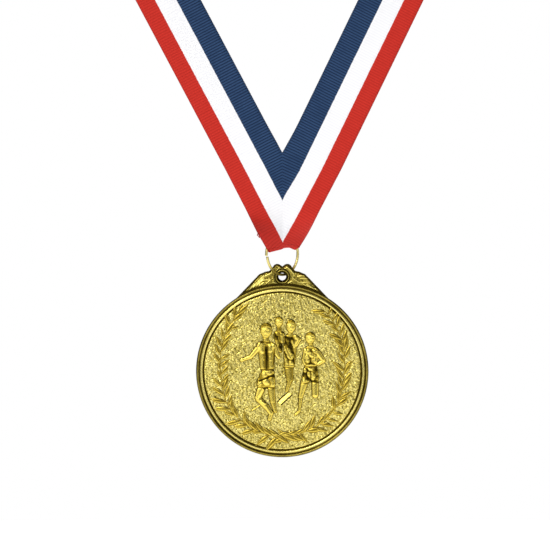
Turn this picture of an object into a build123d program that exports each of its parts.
"""A sports medal on a striped neck ribbon. Millimetres, +Z up, the face of the medal looks along -Y.

Everything is laid out in the hanging frame, whose origin is the centre of the disc, and is moved at the end so that
the origin of the part is the middle of the neck band's inner face, where the ribbon rests on a neck.
"""
from build123d import *
import math
import os

# Disc: a flat back, a raised rim, a thin inner bead and a sunken field.
DISC_R = 32.5
BACK_Y = 1.3
FIELD_T = 2.3
RIM_T = 3.3
RIM_ROUND = 0.7
BEAD_OUTER_R = DISC_R - 1.6
BEAD_INNER_R = DISC_R - 2.35
BEAD_H = 0.6
GROOVE_H = 0.2
FIELD_Y = BACK_Y - FIELD_T
RIM_Y = BACK_Y - RIM_T
RIM_CROWN_R = DISC_R - RIM_ROUND

# Crest: the leafed plate above the disc, with the eye for the jump ring.
CREST_T = 2.0
CREST_SET_IN = 0.3
CREST_BACK_Y = BACK_Y - CREST_SET_IN
CREST_Y = CREST_BACK_Y - CREST_T
CREST_LOBE_X = 2.1
CREST_SHOULDER_X = 8.2
CREST_SHOULDER_Z = DISC_R + 4.4
CREST_FOOT_X = 15.2
CREST_LEAF_H = 0.3

# Eye that the jump ring swings in: its width, its slope and its clearance follow the wire and the plate's thickness.
WIRE_D = 1.0
EYE_CLEAR = 0.15 * CREST_T
EYE_R = WIRE_D / 2 + CREST_T / 2
EYE_LAND = CREST_T / 4
COUNTERSINK_R = EYE_R + 0.45 * CREST_T
COLLAR_W = 0.5
COLLAR_H = 0.2
EYE_Z = DISC_R + COUNTERSINK_R + COLLAR_W + 0.2
CREST_TOP_Z = EYE_Z + 4.85

# Crest leaves: foot, tip and width of each, as x and the height above the disc's edge at the top.
CREST_LEAVES = (
    ((4.2, 1.1), (8.3, 3.4), 1.9),
    ((6.0, 0.5), (12.0, 0.1), 1.5),
    ((3.2, 3.9), (2.2, 7.1), 1.7),
)

# Relief on the field.
RELIEF_H = 0.8
LEAF_H = 0.45
LEAF_L = 5.6
LEAF_W = 1.9
LEAVES_PER_SIDE = 11
STEM_R = BEAD_INNER_R - 4.55
STEM_W = 0.7
STEM_FROM = -98.0
STEM_TO = 48.0

# Jump ring.
RING_R = 8.0
RING_TURN = 43.0
RING_GAP = 0.3
WIRE_R = WIRE_D / 2
WIRE_Z = EYE_Z + EYE_R - WIRE_R - EYE_CLEAR
RING_Z = WIRE_Z + RING_R

# Ribbon.
BAND_W = 22.0
BAND_T = 0.6
ARM_ANGLE = 27.15
ARM_Y = -0.9
ARM_FOOT_Z = RING_Z + RING_R + 2.7
CROSS_Z = ARM_FOOT_Z + 3.2
ARM_L = 182.0
SHOULDER_R = 30.0
NAPE_DEPTH = 68.0
NAPE_RISE = 6.0
NAPE_LEAN = 76.0
SHOULDER_END = 32.0
NAPE_STEP = 4.0
SHOULDER_STEPS = 8

# Tab: the turned-back end of the ribbon, in which the ring hangs.
TAB_CLEAR = 0.15
TAB_W = 1.8934 * (RING_R - WIRE_R)
FOLD_DROP = 1.0
TAIL_TOP_Z = CROSS_Z + 2.8
TAIL_GAP = 0.04
TAIL_RUN = 2.2
STITCH_L = 1.1
STITCH_D = 0.28
STITCH_PITCH = 1.6

TILT = math.radians(ARM_ANGLE)
ALONG = Vector(math.sin(TILT), 0, math.cos(TILT))
OUTWARD = Vector(math.cos(TILT), 0, -math.sin(TILT))
REAR = Vector(0, 1, 0)
UP = Vector(0, 0, 1)


def mirrored(shape):
    """The same solid on the other side of the plane x = 0."""
    return shape.mirror(Plane.YZ)


def upright(sketch, y, height):
    """Stands a sketch drawn in x and z up at the given y, and thickens it towards the front."""
    return extrude(Plane(origin=(0, y, 0), x_dir=(1, 0, 0), z_dir=(0, -1, 0)) * sketch, height)


def lathe(points, arcs=()):
    """Turns a profile of radius and y about the disc's axis; arcs maps a corner's number to its mid-point."""
    edges = []
    for number, start in enumerate(points):
        end = points[(number + 1) % len(points)]
        if number in dict(arcs):
            edges.append(ThreePointArc(start, dict(arcs)[number], end))
        else:
            edges.append(Line(start, end))
    return revolve(make_face(edges), Axis.Y)


def medal_disc():
    """Flat back, rounded edge, crowned rim falling to a groove, a thin bead, and the sunken field."""
    groove_y = FIELD_Y - GROOVE_H
    bead_r = (BEAD_OUTER_R + BEAD_INNER_R) / 2
    points = [
        (0, BACK_Y),
        (DISC_R - RIM_ROUND, BACK_Y),
        (DISC_R, BACK_Y - RIM_ROUND),
        (DISC_R, RIM_Y + RIM_ROUND),
        (RIM_CROWN_R, RIM_Y),
        (BEAD_OUTER_R, groove_y),
        (BEAD_INNER_R, FIELD_Y),
        (0, FIELD_Y),
    ]
    round_in = RIM_ROUND * (1 - math.sqrt(0.5))
    arcs = {
        1: (DISC_R - round_in, BACK_Y - round_in),
        3: (DISC_R - round_in, RIM_Y + round_in),
        5: (bead_r, FIELD_Y - BEAD_H),
    }
    return lathe(points, arcs.items())


def crest_outline(inset=0.0):
    """Half-and-half outline of the crest: two small lobes, a dip, a shoulder and a long slope down to the disc."""
    lobe = CREST_LOBE_X
    shoulder = CREST_SHOULDER_X - inset
    foot = CREST_FOOT_X - 1.5 * inset
    top = CREST_TOP_Z - inset
    foot_z = math.sqrt(DISC_R**2 - CREST_FOOT_X**2)
    shoulder_z = CREST_SHOULDER_Z - inset
    half = [
        ThreePointArc((0, top - 0.8), (0.5 * lobe, top - 0.25), (lobe, top)),
        ThreePointArc((lobe, top), (lobe + 1.5 - inset / 2, top - 0.8), (lobe + 2.6 - inset, top - 2.3)),
        Line((lobe + 2.6 - inset, top - 2.3), (shoulder - 1.5, shoulder_z + 0.45)),
        ThreePointArc((shoulder - 1.5, shoulder_z + 0.45), (shoulder, shoulder_z), (shoulder + 1.1, shoulder_z - 0.9)),
        Line((shoulder + 1.1, shoulder_z - 0.9), (foot, foot_z)),
    ]
    other = [edge.mirror(Plane.YZ) for edge in half]
    return make_face([*half, Line((foot, foot_z), (-foot, foot_z)), *other])


def eye_cut():
    """The eye: a short land between two countersinks."""
    middle = CREST_Y + CREST_T / 2
    half_land = EYE_LAND / 2
    depth = CREST_T / 2 + COLLAR_H
    slope = (COUNTERSINK_R - EYE_R) / (CREST_T / 2 - half_land)
    wide = EYE_R + slope * (depth - half_land)
    points = [
        (0, middle - depth),
        (wide, middle - depth),
        (EYE_R, middle - half_land),
        (EYE_R, middle + half_land),
        (wide, middle + depth),
        (0, middle + depth),
    ]
    return Pos(0, 0, EYE_Z) * lathe(points)


def crest_plate():
    """The plate of the crest, cut to the rim's round edge and pierced by the eye."""
    plate = upright(crest_outline(), CREST_BACK_Y, CREST_T)
    disc = Rot(90, 0, 0) * Cylinder(DISC_R, 4 * CREST_T)
    return plate - disc - eye_cut()


def crest_leaves():
    """Two curled leaves, one each side of the eye, raised from the crest."""
    keep_off = Pos(0, EYE_Z) * Circle(COUNTERSINK_R + COLLAR_W)
    blades = Sketch()
    for (foot_x, foot_up), (tip_x, tip_up), width in CREST_LEAVES:
        blades += leaf((foot_x, DISC_R + foot_up), (tip_x, DISC_R + tip_up), width)
    blades = blades & crest_outline(0.5)
    blades = blades - Circle(DISC_R + 0.2) - keep_off
    both = blades + mirrored(blades)
    return upright(both, CREST_Y, CREST_LEAF_H)


def eye_collar():
    """The raised collar round the mouth of the eye."""
    ring = Pos(0, EYE_Z) * (Circle(COUNTERSINK_R + COLLAR_W) - Circle(EYE_R))
    return upright(ring, CREST_Y, COLLAR_H) - eye_cut()


def leaf(start, end, width):
    """A pointed leaf between two points, as two arcs."""
    first, last = Vector(*start), Vector(*end)
    middle = (first + last) * 0.5
    line = (last - first).normalized()
    side = Vector(-line.Y, line.X) * (width / 2)
    return make_face([ThreePointArc(first, middle + side, last), ThreePointArc(last, middle - side, first)])


def limb(start, end, start_w, end_w):
    """A tapered limb with round ends."""
    circles = Pos(*start) * Circle(start_w / 2) + Pos(*end) * Circle(end_w / 2)
    return make_hull(circles.edges())


def laurel_branch():
    """The right-hand branch: a stem along an arc, with leaves turned out and in by turns."""
    stem = Circle(STEM_R + STEM_W / 2) - Circle(STEM_R - STEM_W / 2)
    low, high = math.radians(STEM_FROM + 16), math.radians(STEM_TO)
    reach = 2 * DISC_R
    wedge = Polygon(
        (0, 0),
        (reach * math.cos(low), reach * math.sin(low)),
        (reach, 0),
        (reach * math.cos(high), reach * math.sin(high)),
        align=None,
    )
    branch = stem & wedge
    for number in range(LEAVES_PER_SIDE):
        share = number / (LEAVES_PER_SIDE - 1)
        angle = math.radians(STEM_FROM + 24 + share * (STEM_TO - STEM_FROM - 26))
        root = Vector(STEM_R * math.cos(angle), STEM_R * math.sin(angle))
        for side in (1, -1):
            aim = angle + math.pi / 2 - side * math.radians(38)
            tip = root + Vector(math.cos(aim), math.sin(aim)) * LEAF_L
            branch += leaf(root, tip, LEAF_W)
    return branch & Circle(BEAD_INNER_R - 0.2)


def runner(head, joints):
    """A running figure: a head and tapered limbs."""
    figure = Pos(*head) * Ellipse(1.5, 1.9)
    for start, end, start_w, end_w in joints:
        figure += limb(start, end, start_w, end_w)
    return figure


RUNNERS = {
    "runner_front": runner(
        (-6.3, 15.9),
        [
            ((-6.0, 11.2), (-4.2, 0.8), 6.6, 4.4),
            ((-8.6, 12.0), (-12.3, 8.4), 2.3, 1.8),
            ((-12.3, 8.4), (-15.0, 5.1), 1.8, 1.5),
            ((-3.6, 11.8), (-1.6, 6.6), 2.3, 1.8),
            ((-4.6, 0.2), (-6.2, -6.6), 4.2, 3.0),
            ((-6.2, -6.6), (-9.3, -9.9), 2.6, 1.5),
            ((-3.4, 0.2), (-3.2, -9.0), 4.0, 2.8),
            ((-3.2, -9.0), (-4.4, -18.2), 2.4, 1.5),
        ],
    ),
    "runner_second": runner((-1.3, 18.9), [((-1.6, 15.6), (-0.4, 7.2), 4.6, 3.4)]),
    "runner_third": runner(
        (3.1, 17.4),
        [
            ((3.0, 13.2), (1.6, 4.6), 5.6, 3.8),
            ((1.6, 4.6), (2.8, -4.2), 3.6, 2.4),
            ((2.8, -4.2), (1.0, -11.4), 2.2, 1.4),
        ],
    ),
    "runner_fourth": runner(
        (10.6, 12.3),
        [
            ((10.4, 8.0), (9.2, -1.6), 6.0, 4.2),
            ((8.2, 9.0), (6.6, 4.4), 2.1, 1.7),
            ((12.8, 8.6), (15.6, 4.2), 2.1, 1.7),
            ((15.6, 4.2), (13.4, 1.4), 1.7, 1.4),
            ((8.6, -2.2), (6.9, -9.8), 3.8, 2.5),
            ((6.9, -9.8), (4.9, -16.8), 2.3, 1.5),
            ((10.0, -2.2), (12.2, -8.0), 3.8, 2.6),
            ((12.2, -8.0), (10.4, -13.6), 2.3, 1.4),
        ],
    ),
}


def runners():
    """The four figures, each cut back to where the ones in front of it leave it in sight."""
    solids, taken = {}, None
    for name, figure in RUNNERS.items():
        seen = figure if taken is None else figure - taken
        taken = figure if taken is None else taken + figure
        solids[name] = upright(seen, FIELD_Y, RELIEF_H)
    return solids, taken


def lane_marks(taken):
    """Slanting bars of the track, between the runners' feet."""
    bars = limb((-1.0, -13.4), (4.6, -9.0), 0.9, 0.9)
    bars += limb((0.4, -14.9), (6.0, -10.6), 0.9, 0.9)
    bars += limb((-11.5, -15.0), (-7.6, -12.4), 0.8, 0.8)
    return upright(bars - taken, FIELD_Y, LEAF_H)


def jump_ring():
    """A ring of round wire, turned about the vertical, butted at a small gap on its left side."""
    gap = math.degrees(RING_GAP / RING_R)
    section = Pos(RING_R, 0, 0) * (Rot(90, 0, 0) * Circle(WIRE_R))
    ring = revolve(section, Axis.Z, 360 - gap)
    stood = Rot(90, 0, 0) * (Rot(0, 0, 180 + gap / 2) * ring)
    return Pos(0, 0, RING_Z) * (Rot(0, 0, RING_TURN) * stood)


def strip(stations):
    """A thin band lofted through stations of centre, half width vector and face normal."""
    rings = []
    for centre, half, normal in stations:
        up = normal * (BAND_T / 2)
        corners = [centre - half - up, centre + half - up, centre + half + up, centre - half + up]
        rings.append(Wire.make_polygon(corners, close=True))
    return Solid.make_loft(rings, ruled=True)


def arm():
    """The right-hand arm of the V: flat, mitred on the plane x = 0 and cut level where the tab begins."""
    half = BAND_W / 2
    outer_foot = (ARM_FOOT_Z - CROSS_Z + half / math.sin(TILT)) * math.tan(TILT)
    end = UP * CROSS_Z + ALONG * ARM_L
    outer_end, inner_end = end + OUTWARD * half, end - OUTWARD * half
    inner_apex = CROSS_Z + half / math.sin(TILT)
    points = [
        (0, ARM_FOOT_Z),
        (outer_foot, ARM_FOOT_Z),
        (outer_end.X, outer_end.Z),
        (inner_end.X, inner_end.Z),
        (0, inner_apex),
    ]
    return upright(Polygon(*points, align=None), ARM_Y + BAND_T / 2, BAND_T)


def shoulder_stations():
    """Stations over the shoulder: a bend about the band's own width, from the arm's line to straight back."""
    start = UP * CROSS_Z + ALONG * ARM_L + REAR * ARM_Y
    stations = []
    for step in range(SHOULDER_STEPS + 1):
        angle = math.pi / 2 * step / SHOULDER_STEPS
        centre = start + (ALONG * math.sin(angle) + REAR * (1 - math.cos(angle))) * SHOULDER_R
        normal = REAR * math.cos(angle) - ALONG * math.sin(angle)
        stations.append((centre, OUTWARD * (BAND_W / 2), normal))
    return stations


def nape_station(angle):
    """The band at an angle round the nape, from 0 at the shoulder to 90 in the middle of the back."""
    start = shoulder_stations()[-1][0]
    turn = math.radians(angle)
    centre = Vector(start.X * math.cos(turn), start.Y + NAPE_DEPTH * math.sin(turn), start.Z)
    centre += UP * NAPE_RISE * math.sin(turn) ** 2
    heading = Vector(
        -start.X * math.sin(turn), NAPE_DEPTH * math.cos(turn), NAPE_RISE * math.sin(2 * turn)
    ).normalized()
    share = turn / (math.pi / 2)
    eased = share * share * (3 - 2 * share)
    lean = math.radians(ARM_ANGLE + (NAPE_LEAN - ARM_ANGLE) * eased)
    level = Vector(heading.Y, -heading.X, 0).normalized()
    outward = level * math.cos(lean) - UP * math.sin(lean)
    outward = (outward - heading * outward.dot(heading)).normalized()
    return centre, outward * (BAND_W / 2), outward.cross(heading)


def shoulder():
    """The right-hand stretch over the shoulder."""
    turned = [nape_station(angle) for angle in arc_steps(NAPE_STEP, SHOULDER_END)]
    return strip(shoulder_stations() + turned)


def arc_steps(first, last):
    """Angles from first to last, about NAPE_STEP apart."""
    count = max(1, round((last - first) / NAPE_STEP))
    return [first + (last - first) * step / count for step in range(count + 1)]


def nape():
    """The stretch round the back of the neck, in one piece from side to side."""
    right = [nape_station(angle) for angle in arc_steps(SHOULDER_END, 90)]
    left = [
        (Vector(-c.X, c.Y, c.Z), Vector(-h.X, h.Y, h.Z), Vector(-n.X, n.Y, n.Z))
        for c, h, n in reversed(right[:-1])
    ]
    return strip(right + left)


def foot_half_width():
    """Half the width of the V where the arms are cut level for the tab."""
    return (ARM_FOOT_Z - CROSS_Z + BAND_W / 2 / math.sin(TILT)) * math.tan(TILT)


def tab_station(z, turn, gap, half_width, pitch=0.0):
    """One line across the tab: turned about the vertical, a gap in front of the ring's plane (behind if negative)."""
    angle = math.radians(turn)
    front = Vector(math.sin(angle), -math.cos(angle), 0)
    across = Vector(math.cos(angle), math.sin(angle), 0)
    normal = front * math.cos(pitch) - UP * math.sin(pitch)
    return front * gap + UP * z, across * half_width, normal


def ring_tab():
    """Down in front of the ring, under it in a tight fold, and up behind it to the stitched tail."""
    wrap = WIRE_R + TAB_CLEAR + BAND_T / 2
    half = TAB_W / 2
    fold_z = RING_Z + math.sqrt((RING_R - WIRE_R) ** 2 - (half + TAB_CLEAR) ** 2) + FOLD_DROP
    top = RING_Z + RING_R
    foot = foot_half_width()
    taper = foot - half
    front = [
        (ARM_FOOT_Z, 0, -ARM_Y, foot),
        (top + 1.3, 0.3 * RING_TURN, wrap + 0.35, foot - 0.08 * taper),
        (top - 0.1, 0.75 * RING_TURN, wrap + 0.65, foot - 0.14 * taper),
        (top - 1.1, 0.9 * RING_TURN, wrap + 0.55, foot - 0.25 * taper),
        (top - 2.4, RING_TURN, wrap + 0.3, foot - 0.47 * taper),
        (fold_z, RING_TURN, wrap, half),
    ]
    stations = [tab_station(*values) for values in front]
    for step in range(1, 8):
        angle = math.pi * step / 8
        stations.append(
            tab_station(
                fold_z - wrap * math.sin(angle), RING_TURN, wrap * math.cos(angle), half, angle
            )
        )
    behind = [(z, turn, -gap, (half + half_width) / 2, math.pi) for z, turn, gap, half_width in front]
    behind.reverse()
    tail_y = ARM_Y + BAND_T + TAIL_GAP
    behind.append((ARM_FOOT_Z + TAIL_RUN, 0, -tail_y, half + 0.5, math.pi))
    behind.append((TAIL_TOP_Z, 0, -tail_y, half, math.pi))
    stations += [tab_station(*values) for values in behind]
    return strip(stations)


def stitches(places, y):
    """Short threads lying on a face, one at each place of x, z and turn."""
    threads = []
    for x, z, turn in places:
        bar = Box(STITCH_L, STITCH_D, STITCH_D)
        threads.append(Pos(x, y + STITCH_D / 2, z) * (Rot(0, turn, 0) * bar))
    return Compound(children=threads)


def mitre_stitches():
    """The zigzag seam that joins the two arms, on their back."""
    top = CROSS_Z + BAND_W / 2 / math.sin(TILT) - 1.2
    count = int((top - TAIL_TOP_Z - 1.0) / STITCH_PITCH)
    places = [(0, top - number * STITCH_PITCH, 24 if number % 2 else -24) for number in range(count)]
    return stitches(places, ARM_Y + BAND_T / 2)


def tab_stitches():
    """The tack across the tail, just under its top edge."""
    count = int(TAB_W / STITCH_PITCH) - 1
    places = [((number - (count - 1) / 2) * STITCH_PITCH, TAIL_TOP_Z - 1.5, 0) for number in range(count)]
    return stitches(places, ARM_Y + BAND_T + TAIL_GAP + BAND_T / 2)


def build():
    """All the nodes of the medal and its ribbon, in the hanging frame."""
    figures, taken = runners()
    laurel = laurel_branch() - taken
    right_arm, right_shoulder = arm(), shoulder()
    branch = upright(laurel, FIELD_Y, LEAF_H)
    other = upright(mirrored(laurel_branch()) - taken - laurel, FIELD_Y, LEAF_H)
    return {
        "medal_disc": medal_disc(),
        "crest_plate": crest_plate(),
        "crest_leaves": crest_leaves(),
        "eye_collar": eye_collar(),
        "laurel_right": branch,
        "laurel_left": other,
        **figures,
        "lane_marks": lane_marks(taken + laurel + mirrored(laurel)),
        "jump_ring": jump_ring(),
        "ribbon_right_arm": right_arm,
        "ribbon_left_arm": mirrored(right_arm),
        "ribbon_right_shoulder": right_shoulder,
        "ribbon_left_shoulder": mirrored(right_shoulder),
        "ribbon_nape": nape(),
        "ribbon_ring_tab": ring_tab(),
        "mitre_stitches": mitre_stitches(),
        "tab_stitches": tab_stitches(),
    }


def main():
    os.makedirs("parts", exist_ok=True)
    middle, _, normal = nape_station(90)
    rest = middle - Vector(0, abs(BAND_T / 2 / normal.Y), 0)
    place = Location((-rest.X, -rest.Y, -rest.Z))
    nodes = build()
    for name, solid in nodes.items():
        export_step(solid.moved(place), f"parts/{name}.step")
    medal = [solid for name, solid in nodes.items() if not name.startswith(("ribbon", "jump", "mitre", "tab"))]
    mass = sum(solid.volume for solid in medal)
    centre = sum((solid.center(CenterOf.MASS) * solid.volume for solid in medal), Vector()) * (1 / mass)
    print("disc centre in the row frame:", place.position)
    print("centre of mass of the medal:", centre)
    print("wire z, ring z:", WIRE_Z, RING_Z)


if __name__ == "__main__":
    main()
